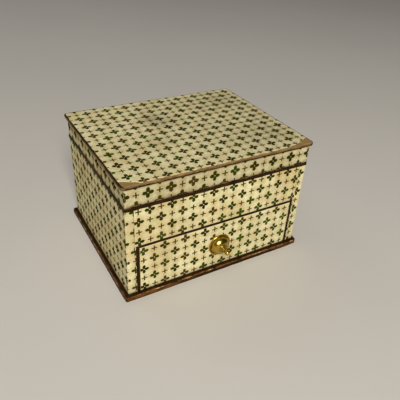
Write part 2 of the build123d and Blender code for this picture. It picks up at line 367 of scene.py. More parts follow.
def lathe(profile, centre, turns=96):
    """A profile of radius against height turned about an axis that points to -Y. Each point goes to the
    centre plus its radius times the cosine and sine of the turn, in X and Z."""
    angle = np.linspace(0, 2 * math.pi, turns, endpoint=False)[:, None]
    radius, height = profile[:, 0][None], profile[:, 1][None]
    return np.stack(
        [
            centre[0] + radius * np.cos(angle),
            np.broadcast_to(centre[1] - height, (turns, profile.shape[0])),
            centre[2] + radius * np.sin(angle),
        ],
        axis=-1,
    )


def smooth_profile(knots, count):
    """A curve through knots of radius and height: Catmull-Rom spans sampled evenly by number."""
    knots = np.array(knots, float)
    padded = np.concatenate([2 * knots[:1] - knots[1:2], knots, 2 * knots[-1:] - knots[-2:-1]])
    where = np.linspace(0, len(knots) - 1 - 1e-9, count)
    span = where.astype(int)
    share = (where - span)[:, None]
    a, b, c, d = (padded[span + step] for step in range(4))
    return 0.5 * (
        2 * b
        + (c - a) * share
        + (2 * a - 5 * b + 4 * c - d) * share**2
        + (3 * b - a - 3 * c + d) * share**3
    )


# Materials


class Graph:
    """Adds nodes to a tree and joins them."""

    def __init__(self, tree):
        self.tree = tree

    def node(self, kind, inputs=(), **settings):
        """Adds a node with its settings and gives each of its inputs named a value or a link."""
        made = self.tree.nodes.new(kind)
        for key, value in settings.items():
            setattr(made, key, value)
        for key, value in dict(inputs).items():
            self.give(made.inputs[key], value)
        return made

    def give(self, socket, value):
        """Links an output to an input, or sets the input to a value."""
        if isinstance(value, bpy.types.NodeSocket):
            self.tree.links.new(value, socket)
        elif socket.type == "RGBA" and len(value) == 3:
            socket.default_value = (*value, 1.0)
        else:
            socket.default_value = value

    def math(self, operation, *values, clamp=False):
        """One operation on numbers."""
        made = self.node("ShaderNodeMath", operation=operation, use_clamp=clamp)
        for socket, value in zip(made.inputs, values):
            self.give(socket, value)
        return made.outputs[0]

    def vector(self, operation, *values, output=0):
        """One operation on vectors."""
        made = self.node("ShaderNodeVectorMath", operation=operation)
        for socket, value in zip(made.inputs, values):
            self.give(socket, value)
        return made.outputs[output]

    def fade(self, value, low, high, start=0.0, end=1.0):
        """Turns a value between low and high smoothly into one between start and end."""
        made = self.node(
            "ShaderNodeMapRange",
            {"Value": value, "From Min": low, "From Max": high, "To Min": start, "To Max": end},
            interpolation_type="SMOOTHSTEP",
        )
        return made.outputs["Result"]

    def mix(self, share, first, second, blend="MIX"):
        """A colour that lies the share given of the way from the first to the second."""
        made = self.node("ShaderNodeMix", data_type="RGBA", blend_type=blend)
        self.give(made.inputs[0], share)
        self.give(made.inputs[6], first)
        self.give(made.inputs[7], second)
        return made.outputs[2]

    def noise(self, vector, scale, detail=3.0, roughness=0.55):
        """Fractal noise between 0 and 1, with scale as its waves to one unit of the vector."""
        made = self.node(
            "ShaderNodeTexNoise",
            {"Vector": vector, "Scale": scale, "Detail": detail, "Roughness": roughness},
        )
        return made.outputs["Fac"]

    def mark(self, name):
        """A number stored at each point of the mesh."""
        return self.node("ShaderNodeAttribute", attribute_name=name).outputs["Fac"]


def group(name, inputs, outputs):
    """An empty node group with its sockets, its graph, its inputs and the node that takes its outputs."""
    tree = bpy.data.node_groups.new(name, "ShaderNodeTree")
    for key, kind, value in inputs:
        socket = tree.interface.new_socket(key, in_out="INPUT", socket_type=kind)
        if value is not None:
            socket.default_value = value
    for key, kind in outputs:
        tree.interface.new_socket(key, in_out="OUTPUT", socket_type=kind)
    graph = Graph(tree)
    return tree, graph, graph.node("NodeGroupInput").outputs, graph.node("NodeGroupOutput").inputs


def use(graph, tree, inputs):
    """Places a group in a material and returns its outputs."""
    made = graph.node("ShaderNodeGroup", node_tree=tree)
    for key, value in inputs.items():
        graph.give(made.inputs[key], value)
    return made.outputs


def cached(maker):
    """Makes a thing once for each set of arguments."""
    kept = {}

    def get(*arguments):
        """What was made for these arguments, made when it is first asked for."""
        if arguments not in kept:
            kept[arguments] = maker(*arguments)
        return kept[arguments]

    return get


# the printed motifs, in millimetres from the middle of each
PETAL_REACH = 2.5
PETAL_HALF_LENGTH = 1.76
PETAL_HALF_WIDTH = 1.42
STALK_REACH = 2.6
STALK_HALF_WIDTH = 1.15
HEART_RADIUS = 1.6
DOT_RADII = (0.36, 0.6)  # of the pale dot, where its edge starts and ends
CROSS_REACH = 2.5
CROSS_HALF_WIDTH = 0.56
FLOWER_EDGE = 0.14  # half the width over which the ink fades out
CROSS_EDGE = 0.12
FILLED_ABOVE = 0.92  # of the chance drawn for a motif: its dot is filled with ink
BETWEEN = (4.0, 8.4)  # where the paper between motifs starts and where it is palest


@cached
def motif_group():
    """The printed pattern on a lattice of one unit a motif: a flower where the two numbers add up to an
    even one, and a cross elsewhere. A flower is four petals joined in the middle round a pale dot."""
    tree, g, given, result = group(
        "Printed motifs",
        [
            ("Lattice", "NodeSocketVector", None),
            ("Cell", "NodeSocketFloat", CELL),
            ("Weight", "NodeSocketFloat", 0.0),
            ("Unevenness", "NodeSocketFloat", 0.25),
        ],
        [
            ("Flower", "NodeSocketFloat"),
            ("Cross", "NodeSocketFloat"),
            ("Chance", "NodeSocketFloat"),
            ("Between", "NodeSocketFloat"),
        ],
    )
    drift = g.node("ShaderNodeTexNoise", {"Vector": given["Lattice"], "Scale": 0.9, "Detail": 1.0})
    shift = g.vector("SUBTRACT", drift.outputs["Color"], (0.5, 0.5, 0.5))
    shift = g.vector("MULTIPLY", shift, (0.10, 0.10, 0.0))
    place = g.vector("ADD", given["Lattice"], shift)
    cell = g.vector("FLOOR", g.vector("ADD", place, (0.5, 0.5, 0.0)))
    local = g.vector("SUBTRACT", place, cell)
    local = g.node("ShaderNodeVectorMath", {0: local, "Scale": given["Cell"]}, operation="SCALE").outputs[0]
    split = g.node("ShaderNodeSeparateXYZ", {0: local}).outputs
    at = g.node("ShaderNodeSeparateXYZ", {0: cell}).outputs
    across, along = g.math("ABSOLUTE", split[0]), g.math("ABSOLUTE", split[1])
    long, short = g.math("MAXIMUM", across, along), g.math("MINIMUM", across, along)
    odd = g.math("FLOORED_MODULO", g.math("ADD", at[0], at[1]), 2.0)
    odd = g.math("GREATER_THAN", odd, 0.5)
    even = g.math("SUBTRACT", 1.0, odd)

    fine = g.vector("MULTIPLY", given["Lattice"], (CELL, CELL, 0.0))
    ragged = g.math("SUBTRACT", g.noise(fine, 1.1, 3.0, 0.7), 0.5)
    ragged = g.math("MULTIPLY", ragged, given["Unevenness"])
    ragged = g.math("MULTIPLY", ragged, 4.0)

    def ellipse(reach, half_long, half_short):
        """About how far outside an ellipse a point lies: its length in half axes, less one, times the
        shorter of the two."""
        first = g.math("DIVIDE", g.math("SUBTRACT", long, reach), half_long)
        second = g.math("DIVIDE", short, half_short)
        length = g.math("SQRT", g.math("ADD", g.math("POWER", first, 2.0), g.math("POWER", second, 2.0)))
        return g.math("MULTIPLY", g.math("SUBTRACT", length, 1.0), half_short)

    petal = ellipse(PETAL_REACH, PETAL_HALF_LENGTH, PETAL_HALF_WIDTH)
    stalk = g.math(
        "MAXIMUM", g.math("SUBTRACT", long, STALK_REACH), g.math("SUBTRACT", short, STALK_HALF_WIDTH)
    )
    radius = g.math("SQRT", g.math("ADD", g.math("POWER", long, 2.0), g.math("POWER", short, 2.0)))
    heart = g.math("SUBTRACT", radius, HEART_RADIUS)
    shape = g.math("MINIMUM", g.math("MINIMUM", petal, stalk), heart)
    shape = g.math("SUBTRACT", g.math("ADD", shape, ragged), given["Weight"])
    flower = g.fade(shape, FLOWER_EDGE, -FLOWER_EDGE)
    dot = g.fade(g.math("ADD", radius, g.math("MULTIPLY", ragged, 0.5)), *DOT_RADII)
    chance = g.node("ShaderNodeTexWhiteNoise", {"Vector": cell}, noise_dimensions="3D").outputs
    filled = g.math("GREATER_THAN", g.math("ADD", chance["Value"], given["Weight"]), FILLED_ABOVE)
    flower = g.math("MULTIPLY", flower, g.math("MAXIMUM", dot, filled))
    result_flower = g.math("MULTIPLY", flower, even, clamp=True)

    bar = g.math(
        "MAXIMUM", g.math("SUBTRACT", long, CROSS_REACH), g.math("SUBTRACT", short, CROSS_HALF_WIDTH)
    )
    bar = g.math("ADD", bar, g.math("MULTIPLY", ragged, 0.8))
    result_cross = g.math("MULTIPLY", g.fade(bar, CROSS_EDGE, -CROSS_EDGE), odd, clamp=True)
    g.give(result["Flower"], result_flower)
    g.give(result["Cross"], result_cross)
    g.give(result["Chance"], chance["Value"])
    g.give(result["Between"], g.fade(g.math("ADD", across, along), *BETWEEN))
    return tree


@cached
def aged_paper_group():
    """Old paper: broad stains, small mottling, foxing specks and short fibres on Object coordinates."""
    tree, g, given, result = group(
        "Aged paper",
        [
            ("Clean", "NodeSocketColor", None),
            ("Stain", "NodeSocketColor", None),
            ("Staining", "NodeSocketFloat", 0.5),
            ("Soil", "NodeSocketFloat", 0.0),
        ],
        [("Color", "NodeSocketColor"), ("Height", "NodeSocketFloat"), ("Roughness", "NodeSocketFloat")],
    )
    place = g.node("ShaderNodeTexCoord").outputs["Object"]
    broad = g.fade(g.noise(place, 26.0, 3.0, 0.6), 0.42, 0.72)
    small = g.fade(g.noise(place, 120.0, 4.0, 0.65), 0.35, 0.75)
    share = g.math("MULTIPLY", g.math("MAXIMUM", broad, g.math("MULTIPLY", small, 0.55)), given["Staining"])
    color = g.mix(share, given["Clean"], given["Stain"])
    for offset, scale, roughness, low, high, strength, tint in (
        ((0.13, 0.41, 0.29), 170.0, 0.6, 0.4, 0.62, 0.55, srgb(200, 176, 112)),
        ((0.31, 0.17, 0.23), 85.0, 0.55, 0.5, 0.68, 0.34, srgb(214, 184, 126)),
        ((0.71, 0.37, 0.53), 95.0, 0.55, 0.52, 0.7, 0.42, srgb(196, 196, 130)),
    ):
        patches = g.noise(g.vector("ADD", place, offset), scale, 3.0, roughness)
        color = g.mix(g.fade(patches, low, high, 0.0, strength), color, tint)
    specks = g.node("ShaderNodeTexVoronoi", {"Vector": place, "Scale": 210.0, "Randomness": 1.0})
    drawn = g.node("ShaderNodeSeparateColor", {0: specks.outputs["Color"]}).outputs[0]
    rare = g.math("GREATER_THAN", drawn, 0.86)
    spot = g.math("MULTIPLY", g.fade(specks.outputs["Distance"], 0.3, 0.05), rare)
    color = g.mix(g.math("MULTIPLY", spot, 0.35), color, srgb(128, 92, 50))
    # this darkening is real dirt, and on the case's left side and the lid's rim it is also painted shade
    dirt = g.noise(place, 340.0, 5.0, 0.7)
    dirt_and_shade = g.math("MULTIPLY", given["Soil"], g.fade(dirt, 0.2, 0.75, 0.45, 1.0))
    color = g.mix(dirt_and_shade, color, srgb(104, 88, 58))
    fibre = g.node(
        "ShaderNodeTexNoise",
        {
            "Vector": g.vector("MULTIPLY", place, (1.0, 1.0, 0.35)),
            "Scale": 2600.0,
            "Detail": 3.0,
            "Roughness": 0.6,
        },
    ).outputs["Fac"]
    color = g.mix(g.fade(fibre, 0.3, 0.8, 0.10, 0.0), color, srgb(150, 128, 84))
    g.give(result["Color"], color)
    g.give(result["Height"], g.math("ADD", g.math("MULTIPLY", fibre, 0.5), small))
    g.give(result["Roughness"], g.math("ADD", 0.62, g.math("MULTIPLY", share, 0.2)))
    return tree


@cached
def rubbing_group():
    """Wear along edges: full at the edge and gone at the width given, broken up by noise."""
    tree, g, given, result = group(
        "Rubbed edge",
        [
            ("Distance", "NodeSocketFloat", 5.0),
            ("Width", "NodeSocketFloat", 0.6),
            ("Scale", "NodeSocketFloat", 260.0),
            ("Amount", "NodeSocketFloat", 0.5),
        ],
        [("Worn", "NodeSocketFloat")],
    )
    place = g.node("ShaderNodeTexCoord").outputs["Object"]
    patchy = g.noise(place, given["Scale"], 4.0, 0.65)
    near = g.math("SUBTRACT", 1.0, g.math("DIVIDE", given["Distance"], given["Width"]))
    uneven = g.math("MULTIPLY", g.math("SUBTRACT", patchy, 0.5), 3.0)
    level = g.math("ADD", g.math("ADD", near, uneven), given["Amount"])
    worn = g.fade(level, 0.85, 1.15)
    reach = g.fade(given["Distance"], g.math("MULTIPLY", given["Width"], 3.0), given["Width"])
    g.give(result["Worn"], g.math("MULTIPLY", worn, reach, clamp=True))
    return tree


def worn_edge(graph, distance, width, scale, amount):
    """How worn a surface is near an edge, from 0 to 1."""
    given = {"Distance": distance, "Width": width, "Scale": scale, "Amount": amount}
    return use(graph, rubbing_group(), given)["Worn"]


def new_material(name):
    """A material with a Principled shader, its graph and that shader's inputs."""
    material = bpy.data.materials.new(name)
    material.use_nodes = True
    graph = Graph(material.node_tree)
    shader = next(node for node in material.node_tree.nodes if node.type == "BSDF_PRINCIPLED")
    return material, graph, shader.inputs


def bump(graph, height, strength, distance):
    """A Bump node on a height, for a shader's Normal."""
    made = graph.node("ShaderNodeBump", {"Height": height, "Strength": strength, "Distance": distance})
    return made.outputs["Normal"]


@cached
def printed_paper(staining, weight):
    """Cream paper block-printed with flowers and crosses, rubbed and browned at its edges."""
    look = bpy.context.scene.perfume_paper
    material, g, shader = new_material(f"printed paper {staining} {weight}")
    lattice = g.node("ShaderNodeUVMap", uv_map="print").outputs[0]
    paper = use(
        g,
        aged_paper_group(),
        {
            "Clean": tuple(look.ground),
            "Stain": tuple(look.stain),
            "Staining": staining,
            "Soil": g.mark("soil"),
        },
    )
    motif = use(g, motif_group(), {"Lattice": lattice, "Cell": look.cell / MM, "Weight": weight})
    place = g.node("ShaderNodeTexCoord").outputs["Object"]
    chance = motif["Chance"]
    patch = g.noise(place, 16.0, 2.0)
    greener = g.fade(g.math("ADD", g.math("MULTIPLY", chance, 0.5), patch), 0.55, 1.1)
    ink = g.mix(greener, tuple(look.ink), tuple(look.green))
    ink = g.mix(g.fade(chance, 0.0, 0.35, 0.5, 0.0), ink, srgb(92, 74, 26))
    cross_ink = g.mix(g.fade(chance, 0.7, 1.0, 0.0, 0.6), tuple(look.cross), srgb(104, 56, 34))
    thin = g.fade(g.noise(place, 700.0, 4.0, 0.7), 0.2, 0.5, 0.95, 1.0)
    color = g.mix(g.math("MULTIPLY", motif["Between"], 0.18), paper["Color"], srgb(246, 240, 210))
    color = g.mix(g.math("MULTIPLY", motif["Cross"], thin), color, cross_ink)
    color = g.mix(g.math("MULTIPLY", motif["Flower"], thin), color, ink)
    worn = worn_edge(g, g.mark("edge"), 0.9, 420.0, 0.25)
    color = g.mix(g.math("MULTIPLY", worn, 0.7), color, srgb(220, 200, 156))
    g.give(shader["Base Color"], color)
    smoother = g.math("MULTIPLY", motif["Flower"], 0.12)
    g.give(shader["Roughness"], g.math("SUBTRACT", paper["Roughness"], smoother))
    raised = g.math("ADD", paper["Height"], g.math("MULTIPLY", motif["Flower"], -0.6))
    g.give(shader["Normal"], bump(g, raised, 0.35, 0.00012))
    shader["Specular IOR Level"].default_value = 0.0
    return material


@cached
def brown_paper(wear, rubbed_to):
    """Glazed dark brown paper that rubs to the tone named and then to bare board. Where its faded mark is
    high it is scuffed all over."""
    look = bpy.context.scene.perfume_boards
    rubbed_tone = tuple(getattr(look, rubbed_to))
    material, g, shader = new_material(f"brown paper {wear} {rubbed_to}")
    place = g.node("ShaderNodeTexCoord").outputs["Object"]
    cloudy = g.noise(place, 70.0, 4.0, 0.6)
    dark = tuple(look.tape)
    color = g.mix(g.fade(cloudy, 0.35, 0.75), dark, tuple(0.45 * part for part in dark))
    color = g.mix(g.fade(g.noise(place, 130.0, 3.0), 0.5, 0.8, 0.0, 0.4), color, srgb(84, 48, 20))
    grain = g.noise(place, 1500.0, 4.0, 0.7)
    streaks = g.noise(g.vector("MULTIPLY", place, (0.25, 0.25, 1.6)), 420.0, 4.0, 0.6)
    faded = g.math("ADD", g.mark("faded"), g.math("MULTIPLY", g.math("SUBTRACT", streaks, 0.5), 1.6))
    color = g.mix(g.fade(faded, 0.3, 0.95, 0.0, 0.92), color, rubbed_tone)
    edge = g.mark("edge")
    rubbed = worn_edge(g, edge, 1.6, 150.0, wear)
    bare = worn_edge(g, edge, 0.5, 120.0, wear - 0.34)
    color = g.mix(g.math("MULTIPLY", rubbed, g.fade(grain, 0.3, 0.6, 0.35, 0.9)), color, rubbed_tone)
    color = g.mix(g.math("MULTIPLY", bare, 0.85), color, srgb(206, 176, 128))
    g.give(shader["Base Color"], color)
    rough = g.fade(cloudy, 0.3, 0.7, 0.42, 0.58)
    g.give(shader["Roughness"], g.math("ADD", rough, g.math("MULTIPLY", bare, 0.3)))
    height = g.math("SUBTRACT", g.math("MULTIPLY", grain, 0.4), g.math("MULTIPLY", bare, 0.8))
    g.give(shader["Normal"], bump(g, height, 0.3, 0.00015))
    shader["Specular IOR Level"].default_value = 0.08
    return material


@cached
def pasteboard(layered):
    """Bare grey-tan board: felted fibres, with layers along its edges where it is layered."""
    look = bpy.context.scene.perfume_boards
    material, g, shader = new_material(f"pasteboard {layered}")
    place = g.node("ShaderNodeTexCoord").outputs["Object"]
    tan = tuple(look.board)
    color = g.mix(g.fade(g.noise(place, 60.0, 4.0, 0.6), 0.35, 0.7, 0.0, 0.6), tan, srgb(124, 96, 54))
    color = g.mix(g.fade(g.noise(place, 900.0, 4.0, 0.7), 0.5, 0.75, 0.0, 0.4), color, srgb(196, 176, 134))
    height = g.noise(place, 1800.0, 4.0, 0.7)
    if layered:
        bands = g.noise(g.vector("MULTIPLY", place, (0.06, 0.06, 1.0)), 2600.0, 2.0)
        level = g.node("ShaderNodeSeparateXYZ", {0: place}).outputs[2]
        top = PLATE_HIGH[2] * MM
        on_side = g.fade(level, top - 0.0004, top - 0.0001, 1.0, 0.12)
        dark_layers = g.math("MULTIPLY", g.fade(bands, 0.42, 0.6, 0.8, 0.0), on_side)
        color = g.mix(dark_layers, color, srgb(70, 44, 22))
        height = g.math("ADD", height, g.math("MULTIPLY", bands, 1.2))
        # on the lid plate this mark holds only the reddish line along its front edge
        soil = g.mark("soil")
        color = g.mix(soil, color, srgb(70, 36, 16))
    g.give(shader["Base Color"], color)
    g.give(shader["Roughness"], 0.86)
    g.give(shader["Normal"], bump(g, height, 0.5, 0.0002))
    shader["Specular IOR Level"].default_value = 0.25
    return material


@cached
def lining_paper():
    """Plain cream lining paper, a little foxed."""
    look = bpy.context.scene.perfume_boards
    material, g, shader = new_material("lining paper")
    paper = use(
        g,
        aged_paper_group(),
        {"Clean": tuple(look.lining), "Stain": srgb(196, 170, 124), "Staining": 0.45, "Soil": 0.04},
    )
    g.give(shader["Base Color"], paper["Color"])
    g.give(shader["Roughness"], paper["Roughness"])
    g.give(shader["Normal"], bump(g, paper["Height"], 0.3, 0.00012))
    shader["Specular IOR Level"].default_value = 0.3
    return material


@cached
def hinge_cloth_material():
    """Fine brown bookcloth: threads that pass over and under each other, as two crossed waves."""
    look = bpy.context.scene.perfume_boards
    material, g, shader = new_material("hinge cloth")
    place = g.node("ShaderNodeTexCoord").outputs["Object"]
    split = g.node("ShaderNodeSeparateXYZ", {0: place}).outputs
    thread = 2 * math.pi / (0.45 * MM)
    warp = g.math("SINE", g.math("MULTIPLY", split[0], thread))
    weft = g.math("SINE", g.math("MULTIPLY", split[2], thread))
    weave = g.math("MULTIPLY", g.math("ADD", g.math("MULTIPLY", warp, weft), 1.0), 0.5)
    faded = g.fade(g.noise(place, 90.0, 4.0, 0.6), 0.4, 0.75, 0.0, 0.5)
    color = g.mix(faded, tuple(look.cloth), srgb(112, 80, 56))
    color = g.mix(g.math("MULTIPLY", weave, 0.4), color, tuple(0.4 * part for part in look.cloth))
    g.give(shader["Base Color"], color)
    g.give(shader["Roughness"], 0.85)
    g.give(shader["Normal"], bump(g, weave, 0.4, 0.0001))
    shader["Sheen Weight"].default_value = 0.2
    return material


@cached
def brass():
    """Lacquered stamped brass, tarnished in its hollows and in cloudy patches."""
    look = bpy.context.scene.perfume_boards
    material, g, shader = new_material("brass")
    place = g.node("ShaderNodeTexCoord").outputs["Object"]
    hollow = g.mark("hollow")
    cloudy = g.noise(place, 260.0, 4.0, 0.6)
    tarnish = g.math(
        "ADD", g.math("MULTIPLY", hollow, 0.85), g.fade(cloudy, 0.45, 0.8, 0.0, 0.45), clamp=True
    )
    color = g.mix(tarnish, tuple(look.brass), srgb(96, 72, 26))
    g.give(shader["Base Color"], color)
    shader["Metallic"].default_value = 1.0
    g.give(shader["Roughness"], g.math("ADD", 0.25, g.math("MULTIPLY", tarnish, 0.25)))
    fine = g.noise(place, 1400.0, 3.0)
    g.give(shader["Normal"], bump(g, fine, 0.12, 0.00006))
    return material


# Pieces


def edge_distance(along, across, low, high, corners=()):
    """How far each point lies from the nearest of the sheet's long edges and of the folds named."""
    nearest = np.minimum(across - low, high - across)
    for corner in corners:
        nearest = np.minimum(nearest, np.abs(along - corner))
    return np.maximum(nearest, 0)


def outline(half_x, half_y, radii):
    """A closed rectangle with its normals and the distance run, from the middle of its front. The radii are
    of its corners at the front right, back right, back left and front left."""
    corners = [(0, -half_y), (half_x, -half_y), (half_x, half_y), (-half_x, half_y), (-half_x, -half_y)]
    points, distance = rounded_path(corners, [0, *radii], 1.0, closed=True)
    points = points[:-1]
    return points, outward(points, closed=True), distance[:-1]


def bells(x, y, places):
    """Dents as bells: each adds its depth times e to minus the squared distance over its squared size."""
    return sum(
        depth * np.exp(-((x - at_x) ** 2 + (y - at_y) ** 2) / size**2) for at_x, at_y, size, depth in places
    )


def dirt_and_shade_spots(x, y, spots):
    """Dirt and painted shade as bell-shaped spots: each adds its strength times e to minus the squared
    distance over its sizes."""
    total = np.zeros(np.broadcast_shapes(np.shape(x), np.shape(y)))
    for centre_x, centre_y, size_x, size_y, strength in spots:
        total += strength * np.exp(-(((x - centre_x) / size_x) ** 2) - ((y - centre_y) / size_y) ** 2)
    return np.clip(total, 0, 1)


def wall_paper(
    corners, radii, low, high, origin, cells, seed, folds=(), spots=(), frayed=(0.0, 0.0), skew=0.0
):
    """A sheet round a path in plan: the path carried upwards, puckered by smooth unevenness. The lattice
    counts cells from a flower at origin, along the path and upwards, and leans by skew. folds are where
    the sheet turns a corner, spots are its dirt and painted shade, and frayed is how far its two ends are
    torn."""
    spacing = 1.5
    fray_reach = 3
    points, distance = rounded_path(corners, radii, spacing)
    normals = outward(points)
    rows = max(6, int((high - low) / spacing))
    share = np.linspace(0, 1, rows)[None, :]
    along = np.broadcast_to(distance[:, None], (len(distance), rows)).copy()
    height = low + (high - low) * share + 0 * along
    torn = ripple(height, 0 * height, 9.0, seed + 5) + 0.5 * ripple(height, 0 * height, 2.6, seed + 6)
    near_start = np.clip(1 - along / fray_reach, 0, 1)
    near_end = np.clip(1 - (distance[-1] - along) / fray_reach, 0, 1)
    ends = frayed[0] * torn * near_start + frayed[1] * torn * near_end
    tangent = np.gradient(points, axis=0)
    tangent /= np.linalg.norm(tangent, axis=1)[:, None]
    swell = 0.05
    pucker = swell * ripple(along, height, 26.0, seed) + 0.02 * ripple(along, height, 7.0, seed + 1)
    surface = carried(points, normals, pucker - swell, height)
    surface[..., :2] += tangent[:, None] * ends[..., None]
    rise = height - origin[1]
    lattice = np.stack([(along + ends - origin[0] + skew * rise) / cells[0], rise / cells[1]], axis=-1)
    marks = {"edge": edge_distance(along, height, low, high, folds), "soil": dirt_and_shade_spots(along, height, spots)}
    return grid(surface, lattice, marks)


def papers_of_case():
    """The printed sheets on the case: one round each side with its turns on to the front and the back,
    one on the back, and the front's in three strips round the drawer opening."""
    low, high = SIDE_LOW[2] + 0.02, SIDE_HIGH[2] - 0.05
    wrap = SIDE_HIGH[0] - SIDE_LOW[0] - 0.1
    width, depth = HALF_WIDTH, HALF_DEPTH
    cell = bpy.context.scene.perfume_paper.cell / MM
    turn = wrap + 2 * depth - 0.7
    left = wall_paper(
        [(wrap - width, depth), (-width, depth), (-width, -depth), (wrap - width, -depth)],
        [0, 1.1, 1.1, 0],
        low,
        high,
        origin=(turn - 1.9, 75.8),
        cells=(cell, 9.36),
        seed=11,
        folds=(wrap, turn),
        # the last spot is painted shade: it darkens the whole left side, so that it looks less lit than the
        # lamps make it
        spots=(
            (turn, low, 9, 4, 0.5), (turn, high, 6, 6, 0.35), (80, low, 60, 5, 0.3), (55, 45, 78, 90, 0.16)
        ),
        frayed=(0.1, 0.12),
    )
    right = wall_paper(
        [(width - wrap, -depth), (width, -depth), (width, depth), (width - wrap, depth)],
        [0, 1.1, 1.1, 0],
        low,
        high,
        origin=(wrap - 5.5, 79.2),
        cells=(cell, 9.35),
        seed=23,
        folds=(wrap, turn),
        spots=((wrap, low, 9, 5, 0.5), (80, low, 60, 5, 0.3)),
        frayed=(0.12, 0.1),
    )
    back = wall_paper(
        [(width - wrap, depth), (wrap - width, depth)],
        [0, 0],
        low,
        high,
        origin=(4.0, 70.0),
        cells=(cell, cell),
        seed=31,
        spots=((60, low, 60, 5, 0.35),),
    )
    material = printed_paper(0.68, 0.0)
    for name, sheet in (("left_side", left), ("right_side", right), ("back", back)):
        piece = build(f"{name}_printed_paper", [sheet], material, "case", PAPER_SKIN)
        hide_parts(f"{name}_paper")

    reach = width - wrap - 0.05
    opening = OPENING_HIGH[2]
    under_top, under_side = 1.6, 1.9  # how far the front's sheet runs under the tape of the opening
    front_line = [(-reach, -depth), (reach, -depth)]
    shift = reach - width
    upper = wall_paper(
        front_line,
        [0, 0],
        opening - under_top,
        high,
        origin=(10.74 + shift, 74.5),
        cells=FRONT_CELL,
        seed=41,
        skew=FRONT_LEAN,
        spots=(
            (20, 80, 16, 8, 0.12), (40, 62, 14, 16, 0.16), (128, 66, 14, 10, 0.14), (120, 52, 50, 3, 0.2)
        ),
    )
    stiles = []
    for side in (-1, 1):
        ends = sorted((side * reach, side * (-OPENING_LOW[0] - under_side)))
        stile = wall_paper(
            [(ends[0], -depth), (ends[1], -depth)],
            [0, 0],
            low,
            opening - under_top,
            origin=(0.0, 74.5),
            cells=FRONT_CELL,
            seed=43,
        )
        stiles.append(stile)
    front = build("front_printed_paper", [upper, *stiles], material, "case", PAPER_SKIN)
    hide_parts("front_paper")


def rim_tape():
    """The brown tape round the top of the case: a bent strip's closed section carried round three sides,
    its lower edge and its face made uneven."""
    back = TAPE_HIGH[1] - 0.1
    corners = [
        (-HALF_WIDTH, back), (-HALF_WIDTH, -HALF_DEPTH), (HALF_WIDTH, -HALF_DEPTH), (HALF_WIDTH, back)
    ]
    points, distance = rounded_path(corners, [0, 1.1, 1.1, 0], 1.2)
    normals = outward(points)
    low, high = TAPE_LOW[2], TAPE_HIGH[2]
    # how far out of the paper, and height
    section = np.array(
        [
            (0.0, low),
            (0.26, low),
            (0.32, low + 0.12),
            (0.36, (low + high) / 2),
            (0.34, high - 0.45),
            (0.22, high - 0.12),
            (-0.05, high - 0.01),
            (-1.4, high),
            (-3.2, high),
            (-3.25, high - 0.3),
            (-1.4, high - 0.32),
            (-0.1, high - 0.35),
            (0.0, high - 0.5),
        ]
    )
    across = np.broadcast_to(section[:, 0][None], (len(points), len(section))).copy()
    height = np.broadcast_to(section[:, 1][None], across.shape).copy()
    wavy = 0.16 * ripple(distance, 0 * distance, 30.0, 3) + 0.08 * ripple(distance, 0 * distance, 6.0, 4)
    bottom = section[:, 1] < low + 0.2
    height[:, bottom] += np.maximum(wavy, -0.15)[:, None] + 0.1
    across[:, 2:6] += 0.03 * ripple(distance, 0 * distance, 9.0, 5)[:, None]
    surface = carried(points, normals, across, height)
    edge = np.abs(section[:, 1] - (high - 0.1)) + 0.4
    piece = build(
        "rim_binding",
        [grid(surface, marks={"edge": edge}, ring=True)],
        brown_paper(0.05, "rubbed"),
        "case",
    )
    close_ends(piece)
    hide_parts("rim_tape")


def close_ends(piece):
    """Fills the open ends of a strip whose section is closed."""
    mesh = piece.data
    shell = bmesh.new()
    shell.from_mesh(mesh)
    bmesh.ops.holes_fill(shell, edges=[edge for edge in shell.edges if edge.is_boundary], sides=0)
    shell.to_mesh(mesh)
    shell.free()


